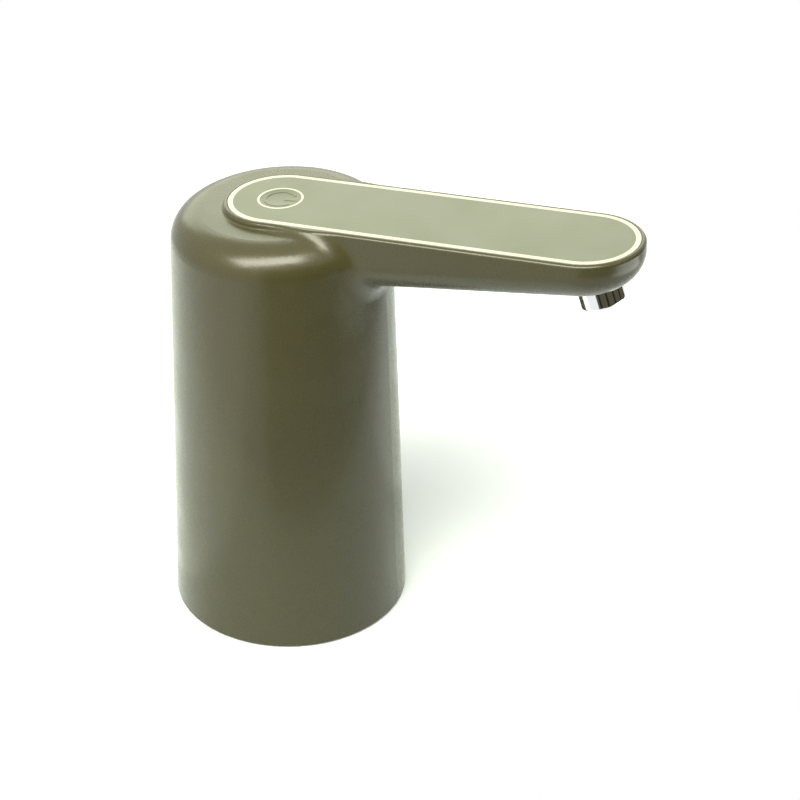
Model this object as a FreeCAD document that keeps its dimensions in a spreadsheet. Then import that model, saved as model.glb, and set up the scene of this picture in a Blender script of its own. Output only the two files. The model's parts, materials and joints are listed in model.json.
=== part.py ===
import FreeCAD, Part
import math
import os
import re

import Sketcher

Vector = FreeCAD.Vector
Rotation = FreeCAD.Rotation
Placement = FreeCAD.Placement

# Electric water pump tap that sits on a bottle neck: a tapered trunk with the
# battery and a diaphragm pump in it, and an arm along +X that ends in a nozzle.
# The origin is on the trunk's axis, on the plane that the trunk stands on.

# Driving sizes, in millimetres and degrees
SIZES = {
    # trunk
    "trunk_draft": 1.8,
    "shoulder_round": 9.0,
    "base_edge": 0.5,
    "wall": 2.4,
    # arm and the panel on its top face
    "panel_height": 134.7,
    "panel_rise": 1.9,
    "panel_tilt": 3.0,
    "arm_reach": 91.5,
    "arm_half_width": 16.7,
    "arm_root_depth": 21.7,
    "arm_taper": 5.4,
    "arm_round": 9.5,
    "arm_floor": 2.2,
    "rim_round": 1.0,
    "seam_top_round": 0.7,
    "seam_round": 7.5,
    "seam_reach": 27.0,
    "panel_half_width": 15.2,
    "panel_gap": 0.25,
    "panel_thick": 2.0,
    "trim_width": 1.5,
    "trim_thick": 0.8,
    "gasket_thick": 0.3,
    "gasket_width": 1.0,
    # button, its light ring and its switch
    "ring_outer": 6.7,
    "ring_width": 0.7,
    "ring_flange_reach": 1.3,
    "ring_flange_thick": 1.0,
    "button_play": 0.08,
    "button_travel": 0.5,
    "button_end_gap": 0.1,
    "button_seat_gap": 0.05,
    "button_flange_reach": 0.5,
    "button_flange_thick": 0.7,
    "button_stem": 2.0,
    "dish_depth": 0.35,
    "mark_radius": 4.4,
    "mark_width": 0.8,
    "mark_rise": 0.12,
    "mark_bar_start": 1.3,
    "mark_gap": 70.0,
    "plunger_radius": 1.7,
    "switch_width": 6.0,
    "switch_thick": 1.6,
    # control board under the panel
    "board_depth": 6.2,
    "board_thick": 1.0,
    "board_back": 10.0,
    "board_front": 40.0,
    "board_half_width": 11.0,
    "board_post_radius": 2.0,
    "board_screw_side": 8.2,
    "board_screw_back": 6.5,
    "board_screw_front": 36.0,
    "led_circle": 6.35,
    # nozzle and the elbow behind it
    "nozzle_past": 2.7,
    "nozzle_inset": 1.8,
    "nozzle_drop": 8.3,
    "nozzle_tilt": 18.5,
    "nozzle_radius": 6.7,
    "nozzle_bore": 4.8,
    "nozzle_edge": 0.9,
    "nozzle_length": 10.2,
    "nozzle_flange_radius": 7.8,
    "nozzle_flange_thick": 1.0,
    "nozzle_seat_radius": 8.2,
    "outlet_depth": 6.9,
    "spigot_seat": 5.2,
    "spigot_play": 0.1,
    "elbow_bore": 2.6,
    "elbow_top": 15.6,
    "elbow_roof": 1.4,
    "elbow_depth": 6.4,
    "elbow_barb_length": 15.0,
    "elbow_flange_thick": 1.2,
    # hoses and the barbs in them
    "hose_radius": 3.5,
    "hose_fit": 0.05,
    "hose_gap": 0.5,
    "hose_end_gap": 1.0,
    "hose_turn_gap": 2.5,
    "hose_board_gap": 3.0,
    "hose_straight": 11.0,
    "hose_grip": 10.5,
    "barb_radius": 2.3,
    "barb_bore": 1.4,
    # bottle socket in the base
    "socket_depth": 25.6,
    "socket_ceiling": 3.8,
    "socket_step": 1.2,
    "socket_lift": 0.3,
    "socket_wall": 3.15,
    "cup_clearance": 0.25,
    "neck_radius": 27.6,
    "neck_ring_wall": 2.6,
    "neck_grip": 12.0,
    "neck_lead": 1.2,
    # inlet nipple in the middle of the socket
    "inlet_radius": 4.0,
    "inlet_bore": 2.0,
    "inlet_reach": 11.6,
    "inlet_tip": 0.8,
    "inlet_shoulder": 0.4,
    "inlet_flange_radius": 8.0,
    "inlet_flange_thick": 1.6,
    "inlet_top": 6.0,
    "inlet_spigot": 2.9,
    "seal_circle": 5.6,
    "seal_wire": 0.6,
    "seal_play": 0.1,
    "coupling_wall": 1.2,
    "coupling_gap": 1.0,
    # screws that hold the base in the housing
    "screw_start": 10.0,
    "screw_count": 3,
    "screw_radius": 1.25,
    "screw_play": 0.15,
    "screw_head_radius": 2.6,
    "screw_head_height": 1.6,
    "screw_head_play": 0.2,
    "screw_bite": 10.4,
    "pilot_depth": 12.0,
    "boss_radius": 3.2,
    "boss_height": 15.0,
    "boss_web": 2.5,
    "boss_gap": 0.4,
    # inner frame
    "frame_play": 0.5,
    "frame_thick": 2.0,
    "cradle_wall": 1.4,
    "cradle_height": 20.0,
    "cradle_ledge": 2.0,
    "sleeve_wall": 1.5,
    "sleeve_fit": 0.05,
    "sleeve_lip": 1.0,
    "sleeve_height": 10.0,
    "spine_thick": 1.6,
    "spine_half_width": 9.0,
    "spine_top": 100.0,
    "collar_low": 84.0,
    "collar_high": 90.0,
    "collar_gap": 0.3,
    # battery cell
    "cell_radius": 9.2,
    "cell_length": 65.0,
    "cell_gap": 0.3,
    "cell_cup_height": 14.0,
    "cell_clip_wall": 1.2,
    "cell_clip_grip": 3.7,
    "clip_play": 0.6,
    "tab_thick": 0.3,
    "tab_width": 6.0,
    # pump, with its head down and its motor up
    "pump_x": 4.0,
    "pump_y": -7.5,
    "pump_radius": 13.5,
    "cover_thick": 7.0,
    "valve_plate_thick": 2.5,
    "valve_port": 0.9,
    "valve_drain": 1.2,
    "flap_radius": 2.2,
    "flap_thick": 0.5,
    "flap_hole": 0.4,
    "flap_play": 0.1,
    "membrane_thick": 1.2,
    "chamber_thick": 3.3,
    "cup_count": 3,
    "cup_circle": 6.9,
    "cup_radius": 4.0,
    "cup_wall": 0.6,
    "cup_gap": 0.4,
    "nipple_radius": 0.9,
    "nipple_length": 3.5,
    "nipple_head_radius": 1.6,
    "nipple_head": 0.8,
    "bracket_wall": 1.7,
    "bracket_height": 14.0,
    "bracket_plate": 1.5,
    "outlet_offset": 17.6,
    "port_block_half": 3.4,
    "outlet_barb_length": 10.0,
    "inlet_barb_length": 4.6,
    "pump_screw_circle": 11.6,
    "pump_screw_radius": 0.85,
    "small_screw_play": 0.1,
    "small_screw_bite": 4.0,
    "small_screw_end": 0.4,
    "pump_screw_head_radius": 1.4,
    "pump_screw_head_height": 1.2,
    "pump_screw_boss": 1.8,
    # wobble plate and the wheel that drives it
    "wobble_angle": 4.0,
    "wobble_pivot": 0.2,
    "wobble_low": 1.2,
    "wobble_thick": 1.3,
    "wobble_reach": 9.2,
    "wobble_arm": 4.4,
    "wobble_disc": 4.4,
    "wobble_hub": 2.6,
    "wobble_hub_top": 5.4,
    "wobble_hole": 1.3,
    "pin_radius": 1.0,
    "pin_top": 8.4,
    "pin_play": 0.06,
    "pin_end_gap": 0.3,
    "wheel_radius": 5.8,
    "wheel_low": 6.0,
    "wheel_thick": 6.0,
    "shaft_grip": 2.8,
    # motor
    "motor_radius": 12.2,
    "motor_length": 30.8,
    "motor_can_wall": 1.0,
    "motor_nose_radius": 3.0,
    "motor_nose": 1.4,
    "motor_nose_gap": 0.2,
    "end_cap_thick": 2.2,
    "end_cap_spigot": 2.0,
    "end_cap_roof": 0.8,
    "shaft_end_gap": 0.2,
    "shaft_radius": 1.0,
    "shaft_play": 0.03,
    "bush_radius": 2.2,
    "bush_length": 3.0,
    "magnet_thick": 1.6,
    "magnet_glue": 0.05,
    "magnet_span": 130.0,
    "magnet_length": 19.0,
    "air_gap": 0.5,
    "core_offset": 7.0,
    "core_length": 14.0,
    "winding_bulge": 2.0,
    "winding_radius": 7.7,
    "winding_hub": 1.6,
    "pole_slot": 3.0,
    "pole_root": 4.0,
    "commutator_radius": 2.8,
    "commutator_length": 4.0,
    "commutator_gap": 0.4,
    "motor_screw_circle": 8.0,
    "motor_screw_radius": 0.9,
    "motor_screw_head_radius": 1.6,
    "motor_screw_head_height": 1.0,
    "terminal_side": 5.0,
    "terminal_offset": 3.0,
    "terminal_width": 2.4,
    "terminal_thick": 0.5,
    "terminal_height": 2.6,
    # charging board and its socket in the back of the trunk
    "charge_thick": 1.6,
    "charge_half_width": 10.0,
    "charge_low": 40.0,
    "charge_high": 66.0,
    "rail_width": 3.0,
    "rail_height": 20.0,
    "rail_groove": 1.2,
    "rail_lip": 1.2,
    "rail_play": 0.1,
    "usb_height": 54.0,
    "usb_width": 8.94,
    "usb_thick": 3.26,
    "usb_length": 8.8,
    "usb_recess": 0.9,
    "usb_shell": 0.3,
    "usb_back": 1.6,
    "usb_tongue": 0.7,
    "usb_tongue_inset": 1.5,
    "usb_gap": 0.3,
    # wires
    "wire_radius": 0.6,
    "wire_end_gap": 0.05,
    "pad_inset": 0.9,
    "charge_pad_inset": 1.4,
}

# Sizes and levels that follow from the driving ones. A name in them is a size or another level.
LEVELS = {
    # how far a cutting tool stands out, and a length beyond the whole part
    "spare": "1",
    "beyond": "2 * arm_reach",
    # trunk and arm
    "trunk_slope": "tan(trunk_draft)",
    "socket_radius": "neck_radius + neck_ring_wall",
    "base_radius": "socket_radius + socket_wall + cup_clearance + wall",
    "trunk_top": "panel_height - panel_rise",
    "blank_top": "trunk_top + base_radius",
    "arm_tip_depth": "arm_root_depth - (arm_reach + arm_half_width) * tan(arm_taper)",
    "opening_half_width": "arm_half_width - wall",
    "band_inner": "panel_half_width - trim_width",
    "recess_half_width": "panel_half_width + panel_gap",
    "recess_depth": "panel_thick + gasket_thick",
    # button
    "ring_inner": "ring_outer - ring_width",
    "ring_flange_radius": "ring_outer + ring_flange_reach",
    "ring_bottom": "panel_thick + ring_flange_thick",
    "button_radius": "ring_inner - button_play",
    "button_flange_radius": "ring_outer + button_flange_reach",
    "button_flange_top": "ring_bottom + button_seat_gap",
    "plunger_top": "board_depth - switch_thick - button_travel - button_end_gap",
    "dish_radius": "button_radius ^ 2 / (2 * dish_depth) + dish_depth / 2",
    # nozzle
    "nozzle_along": "arm_reach + nozzle_past",
    "nozzle_depth": "arm_root_depth - nozzle_along * tan(arm_taper) - nozzle_inset",
    "nozzle_x": "nozzle_along * cos(panel_tilt) + nozzle_depth * sin(panel_tilt)"
                " + nozzle_drop * sin(nozzle_tilt)",
    "nozzle_z": "panel_height + nozzle_along * sin(panel_tilt)"
                " - nozzle_depth * cos(panel_tilt) - nozzle_drop * cos(nozzle_tilt)",
    "nozzle_top": "nozzle_length + nozzle_flange_thick",
    "elbow_radius": "spigot_seat - spigot_play",
    "elbow_groove_low": "outlet_depth + seal_wire",
    "elbow_groove_high": "elbow_groove_low + 2 * seal_wire + seal_play",
    "elbow_barb_end": "nozzle_along - elbow_radius - elbow_barb_length",
    "hose_bore": "barb_radius + hose_fit",
    # base
    "socket_top": "socket_depth + socket_ceiling",
    "socket_inner": "socket_radius - socket_step",
    "inlet_low": "socket_depth - inlet_reach",
    "inlet_shank": "inlet_radius + inlet_shoulder",
    "inlet_flange_low": "socket_top - inlet_flange_thick",
    "screw_circle": "socket_inner - screw_head_radius - 2 * screw_head_play",
    "screw_head_top": "socket_depth + screw_head_play + screw_head_height",
    # inner frame
    "frame_top": "socket_top + frame_thick",
    "frame_radius": "base_radius - wall - frame_top * trunk_slope - frame_play",
    "sleeve_radius": "pump_radius + sleeve_wall",
    "cradle_radius": "sleeve_radius + cradle_wall",
    "cradle_top": "frame_top + cradle_height",
    "ledge_radius": "sleeve_radius - cradle_ledge",
    "port_slot": "port_block_half + hose_gap",
    "collar_radius": "motor_radius + collar_gap",
    "charge_back": "base_radius - usb_height * trunk_slope - usb_recess - usb_length",
    "charge_front": "charge_back - charge_thick",
    # battery
    "cell_offset": "base_radius - wall - collar_high * trunk_slope - clip_play"
                   " - cell_clip_wall - cell_gap - cell_radius",
    "cell_low": "frame_top + tab_thick",
    "cell_top": "cell_low + cell_length",
    "clip_radius": "cell_radius + cell_gap",
    "spine_back": "cell_offset - cell_radius - cell_gap",
    "spine_front": "spine_back - spine_thick",
    # pump
    "pump_low": "socket_top + inlet_top + coupling_gap + inlet_barb_length",
    "sleeve_low": "pump_low - sleeve_lip",
    "sleeve_top": "sleeve_low + sleeve_height",
    "port_level": "pump_low + cover_thick / 2",
    "riser_x": "pump_x - outlet_offset",
    "valve_low": "pump_low + cover_thick",
    "membrane_low": "valve_low + valve_plate_thick",
    "flap_low": "membrane_low - flap_thick - flap_play",
    "chamber_low": "membrane_low + membrane_thick",
    "chamber_top": "chamber_low + chamber_thick",
    "nipple_top": "chamber_top + nipple_length",
    "bracket_top": "chamber_top + bracket_height",
    "bracket_plate_low": "bracket_top - bracket_plate",
    "wheel_base": "chamber_top + wheel_low",
    "wheel_top": "wheel_base + wheel_thick",
    "shaft_low": "wheel_top - shaft_grip",
    # motor
    "motor_top": "bracket_top + motor_length",
    "cap_low": "motor_top - end_cap_spigot",
    "cap_top": "motor_top + end_cap_thick",
    "bush_top": "cap_top - end_cap_roof",
    "nose_low": "bracket_top - motor_nose",
    "can_bore": "motor_radius - motor_can_wall",
    "magnet_radius": "can_bore - magnet_glue",
    "core_radius": "can_bore - magnet_thick - air_gap",
    "core_low": "bracket_top + core_offset",
    "core_top": "core_low + core_length",
    "magnet_low": "core_low - (magnet_length - core_length) / 2",
    "commutator_low": "core_top + winding_bulge + commutator_gap",
    "terminal_top": "cap_top + terminal_height",
}


def full(text):
    """An expression in the names above, written out in the sheet's cells."""

    def word(match):
        name = match.group(0)
        if name in LEVELS:
            return "(" + full(LEVELS[name]) + ")"
        return "Sizes." + name if name in SIZES else name

    return re.sub(r"[a-z][a-z_]*", word, str(text))


doc = FreeCAD.newDocument("water_pump_tap")
sheet = doc.addObject("Spreadsheet::Sheet", "Sizes")
for row, (name, value) in enumerate(SIZES.items(), 1):
    sheet.set(f"A{row}", name)
    sheet.set(f"B{row}", str(value))
    sheet.setAlias(f"B{row}", name)
doc.recompute()

PIECES = []


def number(text):
    return float(sheet.evalExpression(full(text)))


def bind(feature, **properties):
    for name, text in properties.items():
        feature.setExpression(name, full(text))
    return feature


def place(feature, x="0", y="0", z="0"):
    for axis, text in (("x", x), ("y", y), ("z", z)):
        feature.setExpression("Placement.Base." + axis, full(text))
    return feature


def turn(feature, axis, angle):
    """Turns a feature about an axis through its own origin, by an angle in degrees."""
    base = feature.Placement.Base
    feature.Placement = Placement(base, Rotation(axis, number(angle)))
    feature.setExpression("Placement.Rotation.Angle", full(angle))
    return feature


def piece(label, feature):
    feature.Label = label
    PIECES.append(feature)
    return feature


# Building blocks

def cylinder(radius, low, high, x="0", y="0"):
    feature = doc.addObject("Part::Cylinder", "cylinder")
    bind(feature, Radius=radius, Height=f"{high} - ({low})")
    return place(feature, x, y, low)


def block(xs, ys, zs):
    feature = doc.addObject("Part::Box", "block")
    sides = [f"{high} - ({low})" for low, high in (xs, ys, zs)]
    bind(feature, Length=sides[0], Width=sides[1], Height=sides[2])
    return place(feature, xs[0], ys[0], zs[0])


def along_x(radius, start, end, y, z):
    """A rod that lies along X."""
    rod = doc.addObject("Part::Cylinder", "rod")
    bind(rod, Radius=radius, Height=f"{end} - ({start})")
    rod.Placement = Placement(Vector(), Rotation(Vector(0, 1, 0), 90))
    return place(rod, start, y, z)


def ball(radius, z):
    feature = doc.addObject("Part::Sphere", "ball")
    return place(bind(feature, Radius=radius), z=z)


def o_ring(circle, wire, z):
    feature = doc.addObject("Part::Torus", "o_ring")
    return place(bind(feature, Radius1=circle, Radius2=wire), z=z)


def cut(base, *tools):
    for tool in tools:
        feature = doc.addObject("Part::Cut", "cut")
        feature.Base = base
        feature.Tool = tool
        feature.Refine = True
        base = feature
    return base


def join(*parts):
    feature = doc.addObject("Part::MultiFuse", "join")
    feature.Shapes = list(parts)
    feature.Refine = True
    return feature


def shared(*parts):
    feature = doc.addObject("Part::MultiCommon", "shared")
    feature.Shapes = list(parts)
    feature.Refine = True
    return feature


def group(*parts):
    feature = doc.addObject("Part::Compound", "group")
    feature.Links = list(parts)
    return feature


def carried(feature, axis, angle, x, z, y="0"):
    """Turns a feature about an axis through the origin, then moves the origin to x, y, z."""
    return place(turn(group(feature), axis, angle), x, y, z)


def in_panel_frame(feature):
    """Moves a feature drawn with the panel's face at z = 0 to its place on the tilted arm."""
    return carried(feature, Vector(0, -1, 0), "panel_tilt", "0", "panel_height")


def in_nozzle_frame(feature):
    """Moves a feature drawn with the nozzle's rim at z = 0 to its place on the tilted nozzle."""
    return carried(feature, Vector(0, -1, 0), "nozzle_tilt", "nozzle_x", "nozzle_z")


def in_wobble_frame(feature):
    """Moves a feature drawn about the pivot to the wobble plate's tilted axis."""
    return carried(feature, Vector(0, 1, 0), "wobble_angle", "pump_x",
                   "chamber_top + wobble_pivot", "pump_y")


def rounded(base, radius, chosen):
    """Rounds every edge of base that the test picks, and says so if it picks none."""
    doc.recompute()
    picked = [i for i, edge in enumerate(base.Shape.Edges, 1) if chosen(edge)]
    if not picked:
        raise RuntimeError(f"{base.Name}: no edge to round")
    feature = doc.addObject("Part::Fillet", "rounded")
    feature.Base = base
    feature.Edges = [(i, number(radius), number(radius)) for i in picked]
    return feature


def ring_rounded(base, radius_at, chosen):
    """Rounds a closed ring of edges of base with a radius that changes from place to place."""
    doc.recompute()
    left = {i: [edge.valueAt(edge.FirstParameter), edge.valueAt(edge.LastParameter)]
            for i, edge in enumerate(base.Shape.Edges, 1) if chosen(edge)}
    if not left:
        raise RuntimeError(f"{base.Name}: no edge to round")
    at = left[min(left)][0]
    rounds = []
    while left:
        i = min(left, key=lambda j: min(at.distanceToPoint(end) for end in left[j]))
        start, end = sorted(left.pop(i), key=at.distanceToPoint)
        rounds.append((i, radius_at(start), radius_at(end)))
        at = end
    feature = doc.addObject("Part::Fillet", "rounded")
    feature.Base = base
    feature.Edges = rounds
    return feature


def sketch_on(body, role, name):
    sketch = body.newObject("Sketcher::SketchObject", name)
    plane = [f for f in body.Origin.OriginFeatures if f.Role == role][0]
    sketch.AttachmentSupport = [(plane, "")]
    sketch.MapMode = "FlatFace"
    return sketch


def outline(sketch, corners):
    """A closed outline of straight lines, each corner held at its two coordinates."""
    points = [Vector(number(x), number(y), 0) for x, y in corners]
    count = len(points)
    for i in range(count):
        sketch.addGeometry(Part.LineSegment(points[i], points[(i + 1) % count]), False)
    for i in range(count):
        sketch.addConstraint(Sketcher.Constraint("Coincident", i, 2, (i + 1) % count, 1))
    for i, corner in enumerate(corners):
        for kind, text in zip(("DistanceX", "DistanceY"), corner):
            rule = Sketcher.Constraint(kind, -1, 1, i, 1, number(text))
            index = sketch.addConstraint(rule)
            sketch.setExpression(f"Constraints[{index}]", full(text))


def turned(*corners):
    """A body of revolution about Z. Each corner is (radius, height)."""
    body = doc.addObject("PartDesign::Body", "turned")
    sketch = sketch_on(body, "XZ_Plane", "profile")
    outline(sketch, corners)
    feature = body.newObject("PartDesign::Revolution", "revolution")
    feature.Profile = sketch
    feature.ReferenceAxis = (sketch, ["V_Axis"])
    feature.Angle = 360
    return body


def slot_prism(half_width, reach, low, high):
    """A prism whose plan is two half circles, at x = 0 and x = reach, joined by straight sides."""
    body = doc.addObject("PartDesign::Body", "slot_prism")
    sketch = sketch_on(body, "XY_Plane", "plan")
    sketch.setExpression("AttachmentOffset.Base.z", full(low))
    w, far = number(half_width), number(reach)
    quarter = math.pi / 2
    up = Vector(0, 0, 1)
    tip = Part.Circle(Vector(far, 0, 0), up, w)
    root = Part.Circle(Vector(0, 0, 0), up, w)
    sketch.addGeometry(Part.LineSegment(Vector(0, -w, 0), Vector(far, -w, 0)), False)
    sketch.addGeometry(Part.ArcOfCircle(tip, -quarter, quarter), False)
    sketch.addGeometry(Part.LineSegment(Vector(far, w, 0), Vector(0, w, 0)), False)
    sketch.addGeometry(Part.ArcOfCircle(root, quarter, 3 * quarter), False)
    for i in range(4):
        sketch.addConstraint(Sketcher.Constraint("Tangent", i, 2, (i + 1) % 4, 1))
    sketch.addConstraint(Sketcher.Constraint("Horizontal", 0))
    sketch.addConstraint(Sketcher.Constraint("Coincident", 3, 3, -1, 1))
    index = sketch.addConstraint(Sketcher.Constraint("Radius", 1, w))
    sketch.setExpression(f"Constraints[{index}]", full(half_width))
    index = sketch.addConstraint(Sketcher.Constraint("DistanceX", 3, 3, 1, 3, far))
    sketch.setExpression(f"Constraints[{index}]", full(reach))
    pad = body.newObject("PartDesign::Pad", "pad")
    pad.Profile = sketch
    pad.setExpression("Length", full(f"{high} - ({low})"))
    return body


def screw(shank, length, head, height, x="0", y="0", z="0"):
    """A pan-head screw with its head down and a cross recess. Its head starts at z."""
    solid = join(cylinder(head, "0", height), cylinder(shank, "0", f"{height} + {length}"))
    half, wide, deep = f"0.6 * {head}", f"0.14 * {head}", f"0.6 * {height}"
    across = block((f"-{half}", half), (f"-{wide}", wide), ("-0.1", deep))
    along = block((f"-{wide}", wide), (f"-{half}", half), ("-0.1", deep))
    return place(cut(solid, across, along), x, y, z)


def on_circle(radius, angle, x="0", y="0"):
    """The two coordinates, as expressions, of a point on a circle."""
    return f"{x} + {radius} * cos({angle})", f"{y} + {radius} * sin({angle})"


def spread(count, start):
    """The angles, as expressions, of equal steps round a circle."""
    return [f"{start} + {i} * 360 / {count}" for i in range(int(number(count)))]


# Hoses and wires

def rounded_route(points, largest):
    """Straight runs between the points, joined by tangent arcs as large as the runs allow."""
    corners = []
    for before, at, after in zip(points, points[1:], points[2:]):
        a, b = before - at, after - at
        turn_angle = math.pi - a.getAngle(b)
        radius = 0.45 * min(a.Length, b.Length) / math.tan(turn_angle / 2)
        radius = min(radius, largest)
        reach = radius * math.tan(turn_angle / 2)
        first = at + a.normalize() * reach
        last = at + b.normalize() * reach
        middle_way = (a + b).normalize()
        from_corner = radius / math.cos(turn_angle / 2) - radius
        corners.append((first, at + middle_way * from_corner, last, radius))
    edges, start = [], points[0]
    for first, middle, last, radius in corners:
        edges.append(Part.LineSegment(start, first).toShape())
        edges.append(Part.Arc(first, middle, last).toShape())
        start = last
    edges.append(Part.LineSegment(start, points[-1]).toShape())
    return Part.Wire(edges), [c[3] for c in corners]


def swept(points, radius, bore=None, largest=1000.0):
    """The solid of a hose or wire along a route, as a shape, with its volume tested."""
    path, radii = rounded_route(points, largest)
    tight = min(radii) if radii else 0.0
    solid = None
    for size, sign in ((radius, 1), (bore, -1)):
        if size is None:
            continue
        ring = Part.Wire([Part.Circle(points[0], points[1] - points[0], size).toShape()])
        pipe = path.makePipeShell([ring], True, False)
        expected = math.pi * size ** 2 * path.Length
        if abs(pipe.Volume - expected) > 0.01 * expected:
            raise RuntimeError(f"swept volume {pipe.Volume:.1f}, expected {expected:.1f}")
        solid = pipe if sign > 0 else solid.cut(pipe)
    print(f"route of {path.Length:.1f} mm, tightest arc {tight:.1f} mm, radius {radius:.2f} mm")
    return solid


def shape_feature(name, shape):
    feature = doc.addObject("Part::Feature", name)
    feature.Shape = shape
    return feature


def panel_point(along, across, below):
    """The place of a point of the panel's own frame: along the arm, across it and below its face."""
    tilt = math.radians(number("panel_tilt"))
    x = along * math.cos(tilt) + below * math.sin(tilt)
    z = number("panel_height") + along * math.sin(tilt) - below * math.cos(tilt)
    return Vector(x, across, z)


# Housing: trunk and arm in one moulding

def space_above(top):
    """All that lies above the plane that slopes with the arm and has that height on the axis."""
    space = block(("-beyond", "beyond"), ("-beyond", "beyond"), ("0", "beyond"))
    return carried(space, Vector(0, -1, 0), "panel_tilt", "0", top)


def frustum(inset, top):
    """The trunk's taper, inset by a wall and cut by the plane that slopes with the arm."""
    if inset == "0":
        rim = [("base_radius - base_edge", "0"), ("base_radius", "base_edge")]
    else:
        rim = [(f"base_radius - {inset}", "0")]
    upper = f"base_radius - {inset} - blank_top * trunk_slope"
    solid = turned(("0", "0"), *rim, (upper, "blank_top"), ("0", "blank_top"))
    return cut(solid, space_above(top))


def is_top_rim(edge):
    box = edge.BoundBox
    return box.ZMin > number("trunk_top") / 2 and box.YLength > number("base_radius")


def is_under(edge):
    return edge.BoundBox.ZMax < -number("arm_tip_depth") / 2


def arm_blank(half_width, depth, radius, top="0"):
    """The arm's outside or inside, in the panel's frame, with its sloping underside rounded."""
    solid = slot_prism(half_width, "arm_reach", f"-{depth} - arm_round", top)
    below = block(("-beyond", "beyond"), ("-beyond", "beyond"), ("-beyond", "0"))
    below = carried(below, Vector(0, -1, 0), "arm_taper", "0", f"-{depth}")
    return rounded(cut(solid, below), radius, is_under)


def spoke(bar, angle, start, width, z, x="0", y="0"):
    """Turns a bar that lies along X to an angle about Z and centres it on that ray."""
    turn(bar, Vector(0, 0, 1), angle)
    return place(bar, f"{x} + {start} * cos({angle}) + {width} / 2 * sin({angle})",
                 f"{y} + {start} * sin({angle}) - {width} / 2 * cos({angle})", z)


def touches_both(one, other):
    """A test that picks the edges where two solids meet."""
    shells = [one.Shape.Shells[0], other.Shape.Shells[0]]

    def chosen(edge):
        first, last = edge.FirstParameter, edge.LastParameter
        for share in (0.1, 0.5, 0.9):
            point = Part.Vertex(edge.valueAt(first + (last - first) * share))
            if any(point.distToShape(shell)[0] > 1e-3 for shell in shells):
                return False
        return True

    return chosen


def seam_radius(place_on_seam):
    """The seam's radius: a small step behind the button, and a soft blend under the arm."""
    top = number("seam_top_round")
    share = min(max(place_on_seam.x, 0.0) / number("seam_reach"), 1.0)
    return top + (number("seam_round") - top) * share


def is_panel_rim(edge):
    """Picks the edges that lie in the plane of the panel's face."""
    on_face = panel_point(0.0, 0.0, 0.0)
    normal = panel_point(0.0, 0.0, -1.0) - on_face
    first, last = edge.FirstParameter, edge.LastParameter
    points = [edge.valueAt(first + (last - first) * share) for share in (0.0, 0.5, 1.0)]
    return all(abs((point - on_face).dot(normal)) < 1e-3 for point in points)


trunk = rounded(frustum("0", "trunk_top"), "shoulder_round", is_top_rim)
arm = arm_blank("arm_half_width", "arm_root_depth", "arm_round", "2 * seam_round")
arm = in_panel_frame(arm)
doc.recompute()
outside = ring_rounded(join(trunk, arm), seam_radius, touches_both(trunk, arm))
outside = rounded(cut(outside, space_above("panel_height")), "rim_round", is_panel_rim)

inner_trunk = rounded(frustum("wall", "trunk_top - wall"), "shoulder_round - wall", is_top_rim)
inner_arm = arm_blank("opening_half_width", "(arm_root_depth - arm_floor)", "arm_round - wall")
hollow = join(inner_trunk, in_panel_frame(inner_arm))

nozzle_block = cylinder("nozzle_seat_radius", "-nozzle_length", "nozzle_length")
BASE_SCREWS = [on_circle("screw_circle", angle) for angle in spread("screw_count", "screw_start")]
bosses = []
for angle, at in zip(spread("screw_count", "screw_start"), BASE_SCREWS):
    bosses.append(cylinder("boss_radius", "frame_top", "frame_top + boss_height", *at))
    web = block(("0", "base_radius - screw_circle"), ("0", "boss_web"), ("0", "boss_height"))
    bosses.append(spoke(web, angle, "screw_circle", "boss_web", "frame_top"))
hollow = cut(hollow, in_nozzle_frame(nozzle_block), *bosses)

pilots = [cylinder("screw_radius", "frame_top - spare", "frame_top + pilot_depth", *at)
          for at in BASE_SCREWS]
panel_recess = slot_prism("recess_half_width", "arm_reach", "-recess_depth", "spare")
nozzle_bore = cylinder("nozzle_radius", "-nozzle_length", "2 * nozzle_length")


def usb_opening(gap, front, back):
    """The stadium outline of the charging socket, grown by a gap, along X between two places."""
    half = f"(usb_thick / 2 + {gap})"
    side = "(usb_width / 2 - usb_thick / 2)"
    body = block((front, back), (f"-{side}", side),
                 (f"usb_height - {half}", f"usb_height + {half}"))
    ends = [along_x(half, front, back, f"{sign}{side}", "usb_height") for sign in ("", "-")]
    return join(body, *ends)


usb_hole = usb_opening("usb_gap", "-base_radius - spare", "-charge_back")
piece("housing", cut(outside, hollow, *pilots, in_panel_frame(panel_recess),
                     in_nozzle_frame(nozzle_bore), usb_hole))

# Panel on the arm, its white band and its gasket

panel = join(slot_prism("panel_half_width", "arm_reach", "-panel_thick", "-trim_thick"),
             slot_prism("band_inner", "arm_reach", "-panel_thick", "0"))
BOARD_SCREWS = [("-board_screw_back", "board_screw_side"),
                ("board_screw_front", "board_screw_side"),
                ("board_screw_front", "-board_screw_side")]
posts = [cylinder("board_post_radius", "-board_depth", "-panel_thick", x, y)
         for x, y in BOARD_SCREWS]
post_bores = [cylinder("pump_screw_radius", "-board_depth - spare",
                       "-panel_thick - small_screw_end", x, y) for x, y in BOARD_SCREWS]
ring_hole = cylinder("ring_outer", "-panel_thick - spare", "spare")
piece("top_panel", in_panel_frame(cut(join(panel, *posts), ring_hole, *post_bores)))

band = cut(slot_prism("panel_half_width", "arm_reach", "-trim_thick", "0"),
           slot_prism("band_inner", "arm_reach", "-trim_thick - spare", "spare"))
piece("panel_trim", in_panel_frame(band))

gasket_outer = "(opening_half_width + gasket_width)"
gasket = cut(slot_prism(gasket_outer, "arm_reach", "-recess_depth", "-panel_thick"),
             slot_prism("opening_half_width", "arm_reach", "-recess_depth - spare", "0"))
piece("panel_gasket", in_panel_frame(gasket))

# Button in its light ring, over a tact switch

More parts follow.
